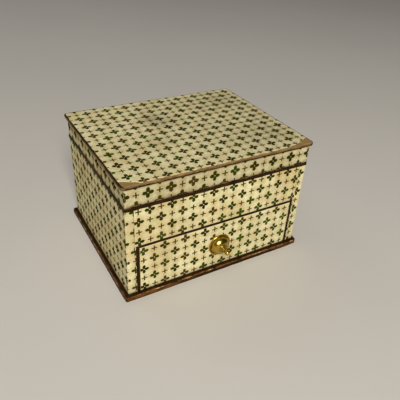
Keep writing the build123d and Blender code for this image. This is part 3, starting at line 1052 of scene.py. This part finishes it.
def opening_tape():
    """The brown tape round the drawer opening: an inner and an outer line joined by a closed section, which
    turns in over the edge of the board."""
    foot, top = OPENING_LOW[2] + 0.02, OPENING_HIGH[2]
    inner_side, inner_top = -OPENING_LOW[0] - 2.5, top - 2.5
    left_width, top_width, right_width = 2.6, 2.15, 1.8
    spans = ((0, 1), (1, 2), (2, 3))
    inner = np.array(
        [(-inner_side, foot), (-inner_side, inner_top), (inner_side, inner_top), (inner_side, foot)]
    )
    outer = np.array(
        [
            (-inner_side - left_width, foot),
            (-inner_side - left_width, inner_top + top_width),
            (inner_side + right_width, inner_top + top_width),
            (inner_side + right_width, foot),
        ]
    )
    counts = (36, 110, 36)
    where = np.concatenate(
        [np.linspace(a, b, n, endpoint=False) for (a, b), n in zip(spans, counts)] + [[3.0]]
    )
    knots = np.arange(4)
    inside = np.stack([np.interp(where, knots, inner[:, axis]) for axis in (0, 1)], axis=1)
    outside = np.stack([np.interp(where, knots, outer[:, axis]) for axis in (0, 1)], axis=1)
    run = np.concatenate(([0], np.cumsum(np.linalg.norm(np.diff(inside, axis=0), axis=1))))
    waver = 0.05 * ripple(run, 0 * run, 24.0, 6) + 0.03 * ripple(run, 0 * run, 5.0, 7)
    # share of the way from the inner line, fixed part in millimetres, and height above the paper
    section = np.array(
        [
            (0.0, 0.0, -3.25),
            (0.0, 0.0, -1.0),
            (0.0, 0.0, 0.15),
            (0.0, 0.1, 0.3),
            (0.12, 0.1, 0.36),
            (0.5, 0.0, 0.37),
            (0.9, 0.0, 0.34),
            (1.0, -0.05, 0.27),
            (1.0, 0.0, 0.0),
            (0.3, 0.1, 0.0),
            (0.0, 0.32, -0.05),
            (0.0, 0.32, -1.0),
            (0.0, 0.32, -3.25),
        ]
    )
    width = outside - inside
    unit = width / np.linalg.norm(width, axis=1)[:, None]
    fixed = section[:, 1][None] + np.where(section[:, 0] > 0.8, 1.0, 0.0)[None] * waver[:, None]
    plan = (
        inside[:, None] + width[:, None] * section[:, 0][None, :, None] + unit[:, None] * fixed[..., None]
    )
    depth = np.broadcast_to(-HALF_DEPTH - section[:, 2][None], plan.shape[:2])
    surface = np.stack([plan[..., 0], depth, plan[..., 1]], axis=-1)
    edge = np.minimum(section[:, 0], 1 - section[:, 0]) * 2.4 + 0.35
    piece = build(
        "opening_binding",
        [grid(surface, marks={"edge": edge}, ring=True)],
        brown_paper(0.0, "rubbed"),
        "case",
    )
    close_ends(piece)
    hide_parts("opening_tape")


def base_skin():
    """The covered base: a rounded slab's profile carried round its outline, with knocked corners. Inside
    its rounded edge the outline is drawn in to the middle."""
    half_x, half_y = -BASE_LOW[0], -BASE_LOW[1]
    points, normals, _ = outline(half_x, half_y, (2.6, 2.2, 2.2, 1.9))
    top = BASE_HIGH[2]
    # out of the outline, height and scale towards the middle
    profile = np.array(
        [
            (-1.3, SHEET_TOP + 0.02, 0.5),
            (-1.3, SHEET_TOP + 0.02, 0.97),
            (-1.3, SHEET_TOP + 0.02, 1.0),
            (-0.45, SHEET_TOP + 0.02, 1.0),
            (-0.16, SHEET_TOP + 0.1, 1.0),
            (-0.03, SHEET_TOP + 0.35, 1.0),
            (0.0, 1.1, 1.0),
            (0.0, top * 0.45, 1.0),
            (0.0, top - 1.1, 1.0),
            (-0.05, top - 0.7, 1.0),
            (-0.2, top - 0.32, 1.0),
            (-0.5, top - 0.09, 1.0),
            (-1.0, top, 1.0),
            (-1.3, top, 1.0),
            (-1.3, top, 0.985),
            (-1.3, top, 0.965),
            (-1.3, top, 0.94),
            (-1.3, top, 0.5),
        ]
    )
    shape = (len(points), len(profile))
    across = np.broadcast_to(profile[:, 0][None], shape).copy()
    height = np.broadcast_to(profile[:, 1][None], shape).copy()
    x, y = points[:, 0], points[:, 1]
    outer = (profile[:, 0] > -1.2)[None]
    dents = 0.12 * ripple(x, y, 28.0, 61) + 0.07 * ripple(x, y, 6.0, 62)
    knocks = bells(
        x,
        y,
        (
            (half_x - 1, -half_y + 1, 5.0, 0.7),
            (-half_x + 1, -half_y + 1, 4.0, 0.2),
            (30, -half_y, 7.0, 0.25),
            (half_x, half_y, 4.0, 0.6),
        ),
    )
    across -= np.where(outer, np.abs(dents)[:, None] + knocks[:, None], 0)
    upper = (profile[:, 1] > top - 1.0)[None]
    height -= np.where(upper & outer, (0.5 * knocks + 0.06 * np.abs(dents))[:, None], 0)
    surface = carried(points, normals, across, height, profile[:, 2][None])
    inland = (1 - profile[:, 2]) * 60
    edge = np.abs(profile[:, 0] + 0.2) + np.maximum(top - 0.8 - profile[:, 1], 0) * 0.8 + inland
    front = np.clip((-y - half_y + 1.5) / 1.5, 0, 1)
    strong = 0.25 + 0.75 * np.clip(np.maximum((-20 - x) / 25, (x - 55) / 15), 0, 1)
    face = np.clip((profile[:, 0] + 0.5) / 0.4, 0, 1) * np.clip(profile[:, 1] / 1.2, 0, 1)
    scuffed = (0.02 + 0.58 * front * strong)[:, None] * face[None]
    piece = build(
        "base_skin",
        [
            grid(
                surface, marks={"edge": edge, "faded": scuffed}, around=True, cap_first=True, cap_last=True
            )
        ],
        brown_paper(0.26, "rubbed"),
        "case",
    )
    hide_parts("base_cover", "base_board")


def drawer_face():
    """The printed sheet on the drawer front, with slightly rubbed edges."""
    low, high = FACE_LOW[2] + 0.05, FACE_HIGH[2] - 0.05
    left, right = FACE_LOW[0] + 0.05, FACE_HIGH[0] - 0.05
    sheet = wall_paper(
        [(left, -HALF_DEPTH), (right, -HALF_DEPTH)],
        [0, 0],
        low,
        high,
        origin=(14.0 - HALF_WIDTH - left, 45.66),
        cells=(FRONT_CELL[0], 9.38),
        seed=51,
        skew=FRONT_LEAN,
        folds=(0.0, right - left),
        spots=(
            (74, 6, 16, 7, 0.2), (30, 30, 12, 10, 0.1), (104, 24, 40, 12, 0.14), (70, 43, 90, 2.5, 0.12)
        ),
    )
    piece = build(
        "drawer_printed_paper", [sheet], printed_paper(0.62, 0.0), "drawer", PAPER_SKIN
    )
    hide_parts("drawer_front_paper")


def knob():
    """The stamped rosette and the turned knob, each a smooth profile turned about the knob's axis."""
    centre = np.array([0.0, ROSETTE_HIGH[1], (ROSETTE_LOW[2] + ROSETTE_HIGH[2]) / 2])
    radius = (ROSETTE_HIGH[0] - ROSETTE_LOW[0]) / 2
    dome = centre[1] - ROSETTE_LOW[1]
    # radius, and height off the drawer front
    outer = smooth_profile(
        [
            (radius - 0.35, 0.02),
            (radius - 0.02, 0.3),
            (radius - 0.05, 0.85),
            (radius - 0.55, 1.25),
            (radius - 1.1, 1.0),
            (radius - 1.4, 0.62),
            (radius - 1.65, 0.95),
            (radius - 1.9, 2.1),
            (radius - 2.5, 3.7),
            (radius - 3.7, 5.2),
            (radius - 5.2, 6.25),
            (radius - 6.5, dome - 0.42),
            (radius - 6.95, dome - 0.5),
            (radius - 7.25, dome - 0.25),
            (radius - 7.6, dome - 0.08),
            (2.05, dome),
        ],
        120,
    )
    inner = smooth_profile(
        [(2.0, dome - 0.6), (4.6, 5.5), (7.4, 3.1), (8.5, 0.9), (radius - 0.8, 0.02)], 24
    )
    profile = np.concatenate([outer, inner])
    rim_groove = np.exp(-(((outer[:, 0] - radius + 1.42) / 0.3) ** 2))
    crown_groove = np.exp(-(((outer[:, 0] - radius + 6.95) / 0.22) ** 2))
    groove = rim_groove + crown_groove
    hollow = np.concatenate([np.clip(groove + (outer[:, 1] < 0.25) * 0.8, 0, 1), np.ones(len(inner))])
    surface = lathe(profile, centre)
    rosette = build(
        "rosette",
        [grid(surface, marks={"hollow": hollow}, around=True, ring=True)],
        brass(),
        "drawer",
    )
    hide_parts("knob_rosette")

    reach = centre[1] - KNOB_LOW[1]
    ball = 2.4
    middle = reach - ball
    turn = np.linspace(math.radians(128), math.radians(2), 22)
    ball_knots = np.stack([ball * np.sin(turn), middle + ball * np.cos(turn)], axis=1)
    stem = smooth_profile(
        [
            (1.35, dome - 0.3),
            (1.4, dome),
            (2.7, dome + 0.02),
            (3.0, dome + 0.25),
            (2.85, dome + 0.6),
            (2.2, dome + 0.85),
            (1.75, dome + 1.15),
            (1.5, dome + 1.7),
            (1.38, dome + 2.6),
            (1.45, dome + 3.4),
            (1.6, ball_knots[0, 1] - 0.25),
        ],
        60,
    )
    shank_end = centre[1] - KNOB_HIGH[1]
    shank = np.array([(0.9, shank_end), (1.3, shank_end + 0.3), (1.35, shank_end + 1.0)])
    profile = np.concatenate([shank, stem, ball_knots])
    hollow = np.exp(-(((profile[:, 1] - dome - 0.95) / 0.3) ** 2)) + np.exp(
        -(((profile[:, 1] - ball_knots[0, 1]) / 0.35) ** 2)
    )
    surface = lathe(profile, centre, 64)
    piece = build(
        "knob",
        [
            grid(
                surface, marks={"hollow": np.clip(hollow, 0, 1)}, around=True, cap_first=True, cap_last=True
            )
        ],
        brass(),
        "drawer",
    )
    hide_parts("drawer_knob")


def plate_edge():
    """The lid plate's outline, and the section of its edge with the distance run along it."""
    points, normals, distance = outline(-PLATE_LOW[0], -PLATE_LOW[1], (3.4, 2.8, 2.8, 2.6))
    low, high = PLATE_LOW[2], PLATE_HIGH[2]
    # how far out of the outline, and height
    section = np.array(
        [
            (-1.6, low),
            (-0.7, low + 0.02),
            (-0.25, low + 0.18),
            (-0.05, low + 0.55),
            (0.0, low + 1.2),
            (0.0, low + 1.9),
            (-0.08, low + 2.35),
            (-0.3, low + 2.72),
            (-0.75, high - 0.06),
            (-1.2, high),
            (-2.4, high),
        ]
    )
    run = np.concatenate(([0], np.cumsum(np.linalg.norm(np.diff(section, axis=0), axis=1))))
    return points, normals, distance, section, run


def plate_wear(points):
    """How far the plate's edge is pressed in at each point of its outline."""
    x, y = points[:, 0], points[:, 1]
    rough = 0.10 * np.abs(ripple(x, y, 14.0, 71)) + 0.06 * np.abs(ripple(x, y, 4.0, 72))
    knocks = bells(
        x,
        y,
        (
            (-86, -69, 6.0, 0.3),
            (84, -67, 7.0, 0.2),
            (20, -70, 10.0, 0.2),
            (86, 69, 5.0, 0.3),
            (-86, 69, 5.0, 0.2),
        ),
    )
    return rough + knocks


def plate_layers(level, distance):
    """Fine steps of the board's layers: a sine of the height whose strength wanders along the edge."""
    return 0.07 * np.sin(level * 9.0) * ripple(distance, 0 * distance, 17.0, 73)[:, None]


def lid_plate():
    """The lid's board, worn at its edges and layered like its section."""
    points, normals, distance, section, run = plate_edge()
    wear = plate_wear(points)
    top, under = PLATE_HIGH[2], PLATE_LOW[2]
    dense = np.linspace(0, run[-1], 60)
    fine = np.stack([np.interp(dense, run, section[:, axis]) for axis in (0, 1)], axis=1)
    inner = [(-2.4, top, scale) for scale in (0.98, 0.95, 0.5)]
    profile = np.concatenate([[(-1.6, under, 0.5)], np.c_[fine, np.ones(len(fine))], inner])
    shape = (len(points), len(profile))
    outer = np.exp(-((profile[:, 0] / 0.7) ** 2))[None]
    across = profile[:, 0][None] + outer * (plate_layers(profile[:, 1][None], distance) - wear[:, None])
    height = np.broadcast_to(profile[:, 1][None], shape)
    surface = carried(points, normals, across, height, profile[:, 2][None])
    front_start, fade = 66, 4
    front = np.clip((-points[:, 1] - front_start) / fade, 0, 1)[:, None]
    rusty = front * np.exp(-(((profile[:, 1][None] - under - 1.2) / 0.6) ** 2))
    streak = np.clip(0.75 + 0.5 * ripple(distance, 0 * distance, 22.0, 74), 0, 1)[:, None]
    piece = build(
        "lid_plate",
        [grid(surface, marks={"soil": rusty * streak * 0.85}, around=True, cap_first=True, cap_last=True)],
        pasteboard(True),
        "lid",
    )
    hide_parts("lid_board")


def lid_binding():
    """What is left of the brown paper on the plate's edges: a band between two torn lines along the
    section, lifted off the board by the paper's thickness."""
    points, normals, distance, section, run = plate_edge()
    wear = plate_wear(points)
    side_start, back_start, fade = 83, 66, 3.5
    side = np.clip((np.abs(points[:, 0]) - side_start) / fade, 0, 1)
    back = np.clip((points[:, 1] - back_start) / fade, 0, 1)
    whole = np.maximum(side, back)
    tears = 0.35 * ripple(distance, 0 * distance, 11.0, 75) + 0.2 * ripple(distance, 0 * distance, 3.0, 76)
    lower = 0.9 + (1 - whole) * 0.5 + 0.5 * tears
    upper = np.where(whole > 0.02, 2.4 + 2.7 * whole + tears * (0.7 - 0.5 * whole), 2.4 + tears)
    share = np.linspace(0, 1, 28)[None]
    place = np.clip(lower[:, None] + (upper - lower)[:, None] * share, 0.05, run[-1] - 0.1)
    out = np.interp(place, run, section[:, 0])
    level = np.interp(place, run, section[:, 1])
    slope_out = np.interp(place + 0.05, run, section[:, 0]) - out
    slope_up = np.interp(place + 0.05, run, section[:, 1]) - level
    length = np.hypot(slope_out, slope_up)
    outer = np.exp(-((out / 0.7) ** 2))
    lift = 0.09
    out = out + outer * (plate_layers(level, distance) - wear[:, None]) + lift * slope_up / length
    level = level - lift * slope_out / length
    out = np.minimum(out, 0.0)
    surface = carried(points, normals, out, level)
    edge = np.minimum(place - lower[:, None], upper[:, None] - place) + 0.45
    patchy = 0.12 * ripple(distance, 0 * distance, 25.0, 77)[:, None]
    kept = (0.22 + 0.5 * whole)[:, None]
    face = 1 / (1 + np.exp((place - 3.75) / 0.12))
    piece = build(
        "lid_binding",
        [grid(surface, marks={"edge": edge, "faded": face * (kept + patchy)}, around=True)],
        brown_paper(0.1, "board"),
        "lid",
        0.08,
    )
    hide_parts("lid_edge_tape")


def lid_top():
    """The printed sheet on the lid: rings drawn in from a torn outline to the middle, with lifted edges."""
    back = TOP_HIGH[1] - 0.3
    left, right = TOP_LOW[0] + 0.3, TOP_HIGH[0] - 0.3
    # the torn outline, from the middle of the front
    corners = [
        (0, -69.2),
        (59.8, -68.8),
        (67.3, -67.8),
        (78.3, -64.3),
        (right, -59.4),
        (right, back),
        (left, back),
        (left, -61.5),
        (-72.0, -68.6),
        (-66.0, -69.2),
    ]
    radii = [0, 4.0, 6.0, 6.0, 3.0, 2.5, 2.0, 1.5, 1.5, 2.0]
    points, distance = rounded_path(corners, radii, 1.0, closed=True)
    points, distance = points[:-1], distance[:-1]
    normals = outward(points, closed=True)
    front_start, fade = 50, 10
    front = np.clip((-points[:, 1] - front_start) / fade, 0, 1)
    torn = 0.5 * ripple(distance, 0 * distance, 7.0, 81) + 0.35 * ripple(distance, 0 * distance, 2.2, 82)
    points = points + normals * (torn * (0.18 + 0.55 * front))[:, None]
    share = np.concatenate([np.linspace(0, 0.03, 4), np.linspace(0.05, 0.97, 66)])
    plan = points[:, None] * (1 - share)[None, :, None]
    to_middle = 70
    from_edge = np.broadcast_to((share * to_middle)[None], plan.shape[:2])
    x, y = plan[..., 0], plan[..., 1]
    swell = 0.05 * ripple(x, y, 34.0, 83) + 0.03 * ripple(x, y, 9.0, 84)
    curl = 0.12 * np.exp(-from_edge / 0.8) * ripple(points[:, 0], points[:, 1], 12.0, 85)[:, None]
    settled = np.clip(from_edge / 3, 0, 1)
    level = TOP_HIGH[2] - 0.1 + np.minimum(swell * settled + curl * front[:, None], 0.09)
    surface = np.stack([x, y, level], axis=-1)
    first_x, first_y, lean = -78.0, -57.74, 0.0094
    rise = y - first_y - lean * (x - first_x)
    pitch_x, pitch_y = 9.25, 9.11
    lattice = np.stack([(x - first_x) / pitch_x, rise / pitch_y], axis=-1)
    # centre, sizes and strength
    spots = (
        (-16, 18, 15, 14, 0.5),
        (-20, 30, 10, 9, 0.35),
        (55, -40, 38, 26, 0.42),
        (62, 44, 30, 30, 0.32),
        (20, 50, 60, 20, 0.2),
        (10, 0, 50, 40, 0.14),
        (72, -5, 16, 50, 0.25),
        (-30, -15, 16, 14, 0.14),
    )
    marks = {"edge": from_edge + 0.2, "soil": dirt_and_shade_spots(x, y, spots)}
    piece = build(
        "lid_printed_paper",
        [grid(surface, lattice, marks, around=True, cap_last=True)],
        printed_paper(0.5, 0.04),
        "lid",
        PAPER_SKIN,
    )
    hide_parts("lid_top_paper")


def lid_rim():
    """The printed strip round the lid's rim, which starts and ends on the back."""
    low, high = RIM_LOW[2] + 0.03, RIM_HIGH[2] - 0.02
    width, depth = HALF_WIDTH, HALF_DEPTH
    lap = 30  # how far along the back the strip starts and ends
    start = (-width + lap, depth)
    corners = [start, (-width, depth), (-width, -depth), (width, -depth), (width, depth), start]
    turn = lap + 2 * depth - 0.6
    sheet = wall_paper(
        corners,
        [0, 0.95, 0.95, 0.95, 0.95, 0],
        low,
        high,
        origin=(turn + 18.4, 98.9),
        cells=(9.395, 9.33),
        seed=91,
        folds=(lap, turn, turn + 2 * width - 0.5, turn + 2 * width + 2 * depth - 1),
        # the last spot is partly dirt and partly painted shade: it darkens the whole strip, where the plate's
        # overhang would shade it
        spots=(
            (turn + 30, low, 40, 4, 0.3),
            (turn + 60, high, 80, 3, 0.3),
            (turn + 110, low, 30, 3, 0.2),
            (300, low, 400, 60, 0.48),
        ),
    )
    piece = build("rim_printed_paper", [sheet], printed_paper(0.6, 0.2), "lid", PAPER_SKIN)
    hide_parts("lid_front_paper", "lid_back_paper", "lid_left_paper", "lid_right_paper")


def hinge():
    """The cloth hinge: a flat strip on the back with slightly frayed edges, its rows closer together across
    its middle.
    """
    half = CLOTH_HIGH[0]
    low, high = CLOTH_LOW[2], CLOTH_HIGH[2]
    across = np.linspace(half, -half, 140)[:, None]
    share = np.concatenate(
        [np.linspace(0, 0.42, 9), np.linspace(0.44, 0.56, 13), np.linspace(0.58, 1, 9)]
    )[None]
    fray = 0.15 * ripple(across, 0 * across, 5.0, 95)
    height = (low + 0.15) + (high - low - 0.3) * share + fray * (2 * share - 1)
    uneven = 0.03
    level = CLOTH_HIGH[1] - uneven + uneven * ripple(across, height, 8.0, 96)
    surface = np.stack(np.broadcast_arrays(across, level, height), axis=-1)
    piece = build("cloth_hinge", [grid(surface)], hinge_cloth_material(), None, 0.3)
    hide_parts("hinge_cloth")
    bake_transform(piece)


def finish_nodes():
    """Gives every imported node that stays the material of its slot."""
    slots = {part["node"]: part["material_slot"] for part in frame["record"]["subparts"]}
    made = {
        "pasteboard": pasteboard(False),
        "lining_paper": lining_paper(),
        "brass": brass(),
        "brown_paper": brown_paper(0.0, "rubbed"),
        "printed_paper": printed_paper(0.68, 0.0),
        "hinge_cloth": hinge_cloth_material(),
    }
    for name, node in frame["nodes"].items():
        for place in node.material_slots:
            place.material = made[slots[name]]


SENSOR_WIDTH = 36.0
PICTURE_PIXELS = 400
FOCAL_PIXELS = 457.28
CAMERA_TURN = (-31.553, 33.477, 3.441)  # azimuth, elevation and roll in degrees
CAMERA_PLACE = (-0.17879, -0.32315, 0.27779)


def stage():
    """A plain pale floor, a large soft lamp in front on the left, a weak one behind, and the camera."""
    look = bpy.context.scene.perfume_stage
    mesh = bpy.data.meshes.new("floor")
    mesh.from_pydata([(-4, -4, 0), (4, -4, 0), (4, 6, 0), (-4, 6, 0)], [], [(0, 1, 2, 3)])
    floor = bpy.data.objects.new("floor", mesh)
    bpy.context.scene.collection.objects.link(floor)
    material, g, shader = new_material("floor")
    place = g.node("ShaderNodeTexCoord").outputs["Object"]
    tone = g.fade(g.noise(place, 3.0, 3.0), 0.3, 0.7, 0.0, 0.25)
    g.give(shader["Base Color"], g.mix(tone, tuple(look.floor), tuple(0.9 * part for part in look.floor)))
    shader["Roughness"].default_value = 0.95
    shader["Specular IOR Level"].default_value = 0.1
    mesh.materials.append(material)

    world = bpy.data.worlds.new("studio")
    world.use_nodes = True
    sky = Graph(world.node_tree)
    background = next(node for node in world.node_tree.nodes if node.type == "BACKGROUND").inputs
    direction = sky.node("ShaderNodeTexCoord").outputs["Generated"]
    rightward = sky.node("ShaderNodeSeparateXYZ", {0: direction}).outputs[0]
    mirrored = sky.node("ShaderNodeLightPath").outputs["Is Glossy Ray"]
    dark_side = sky.math("MULTIPLY", sky.fade(rightward, -0.1, 0.35, 0.0, 0.8), mirrored)
    background["Color"].default_value = (1.0, 0.985, 0.96, 1.0)
    sky.give(
        background["Strength"], sky.math("MULTIPLY", sky.math("SUBTRACT", 1.0, dark_side), look.ambient)
    )
    bpy.context.scene.world = world

    target = Vector((0.0, 0.0, 0.05))  # where both lamps point
    for name, place, size, power, tint in (
        ("key", (-0.60, -1.62, 1.40), 0.7, look.key, (1.0, 0.985, 0.95)),
        ("fill", (-0.8, 1.8, 1.6), 1.4, look.key * 0.12, (0.96, 0.98, 1.0)),
    ):
        lamp = bpy.data.lights.new(name, "AREA")
        lamp.energy = power
        lamp.size = size
        lamp.color = tint
        holder = bpy.data.objects.new(name, lamp)
        holder.location = place
        holder.rotation_euler = (target - Vector(place)).to_track_quat("-Z", "Y").to_euler()
        bpy.context.scene.collection.objects.link(holder)

    lens = bpy.data.cameras.new("camera")
    lens.sensor_width = SENSOR_WIDTH
    lens.lens = FOCAL_PIXELS / PICTURE_PIXELS * SENSOR_WIDTH
    lens.clip_start = 0.01
    camera = bpy.data.objects.new("camera", lens)
    azimuth, elevation, roll = (math.radians(angle) for angle in CAMERA_TURN)
    back = Vector(
        (
            math.sin(azimuth) * math.cos(elevation),
            -math.cos(azimuth) * math.cos(elevation),
            math.sin(elevation),
        )
    )
    right = (-back).cross(Vector((0, 0, 1))).normalized()
    up = right.cross(-back)
    tilted_right = right * math.cos(roll) + up * math.sin(roll)
    tilted_up = up * math.cos(roll) - right * math.sin(roll)
    turned = Matrix((tilted_right, tilted_up, back)).transposed().to_4x4()
    camera.matrix_world = Matrix.Translation(CAMERA_PLACE) @ turned
    bpy.context.scene.collection.objects.link(camera)
    bpy.context.scene.camera = camera
    bpy.context.scene.view_settings.view_transform = "Standard"


# Operators, panel and registration


class PERFUMEBOX_OT_nodes(bpy.types.Operator):
    """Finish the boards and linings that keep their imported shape"""

    bl_idname = "perfume_box.nodes"
    bl_label = "Boards and Linings"

    def execute(self, context):
        finish_nodes()
        return {"FINISHED"}


class PERFUMEBOX_OT_base(bpy.types.Operator):
    """Make the covered base"""

    bl_idname = "perfume_box.base"
    bl_label = "Base"

    def execute(self, context):
        base_skin()
        return {"FINISHED"}


class PERFUMEBOX_OT_case(bpy.types.Operator):
    """Make the printed papers and the brown tapes of the case"""

    bl_idname = "perfume_box.case"
    bl_label = "Case Papers"

    def execute(self, context):
        papers_of_case()
        rim_tape()
        opening_tape()
        return {"FINISHED"}


class PERFUMEBOX_OT_drawer(bpy.types.Operator):
    """Make the printed paper of the drawer front and its knob"""

    bl_idname = "perfume_box.drawer"
    bl_label = "Drawer Front and Knob"

    def execute(self, context):
        drawer_face()
        knob()
        return {"FINISHED"}


class PERFUMEBOX_OT_lid(bpy.types.Operator):
    """Make the lid's plate, its binding and its printed papers"""

    bl_idname = "perfume_box.lid"
    bl_label = "Lid"

    def execute(self, context):
        lid_plate()
        lid_binding()
        lid_top()
        lid_rim()
        return {"FINISHED"}


class PERFUMEBOX_OT_hinge(bpy.types.Operator):
    """Make the cloth hinge"""

    bl_idname = "perfume_box.hinge"
    bl_label = "Cloth Hinge"

    def execute(self, context):
        hinge()
        return {"FINISHED"}


class PERFUMEBOX_OT_stage(bpy.types.Operator):
    """Make the floor, the lamps and the camera"""

    bl_idname = "perfume_box.stage"
    bl_label = "Stage"

    def execute(self, context):
        stage()
        return {"FINISHED"}


STEPS = (
    PERFUMEBOX_OT_nodes,
    PERFUMEBOX_OT_base,
    PERFUMEBOX_OT_case,
    PERFUMEBOX_OT_drawer,
    PERFUMEBOX_OT_lid,
    PERFUMEBOX_OT_hinge,
    PERFUMEBOX_OT_stage,
)
LOOKS = (("perfume_paper", PaperLook), ("perfume_boards", BoardLook), ("perfume_stage", StageLook))


class PERFUMEBOX_PT_panel(bpy.types.Panel):
    """Lists the looks and the steps of the box"""

    bl_idname = "PERFUMEBOX_PT_panel"
    bl_label = "Perfume Box"
    bl_space_type = "VIEW_3D"
    bl_region_type = "UI"
    bl_category = "Perfume Box"

    def draw(self, context):
        """Shows the values of each look, then a button for each step."""
        for name, look in LOOKS:
            column = self.layout.column(align=True)
            for key in look.__annotations__:
                column.prop(getattr(context.scene, name), key)
        for step in STEPS:
            self.layout.operator(step.bl_idname)


def register():
    """Adds the looks, the steps and the panel to Blender."""
    for name, look in LOOKS:
        bpy.utils.register_class(look)
        setattr(bpy.types.Scene, name, PointerProperty(type=look))
    for kind in (*STEPS, PERFUMEBOX_PT_panel):
        bpy.utils.register_class(kind)


def unregister():
    """Takes the panel, the steps and the looks out again."""
    for kind in (PERFUMEBOX_PT_panel, *reversed(STEPS)):
        bpy.utils.unregister_class(kind)
    for name, look in LOOKS:
        delattr(bpy.types.Scene, name)
        bpy.utils.unregister_class(look)


def main():
    register()
    for step in STEPS:
        space, name = step.bl_idname.split(".")
        getattr(getattr(bpy.ops, space), name)()


if __name__ == "__main__":
    main()
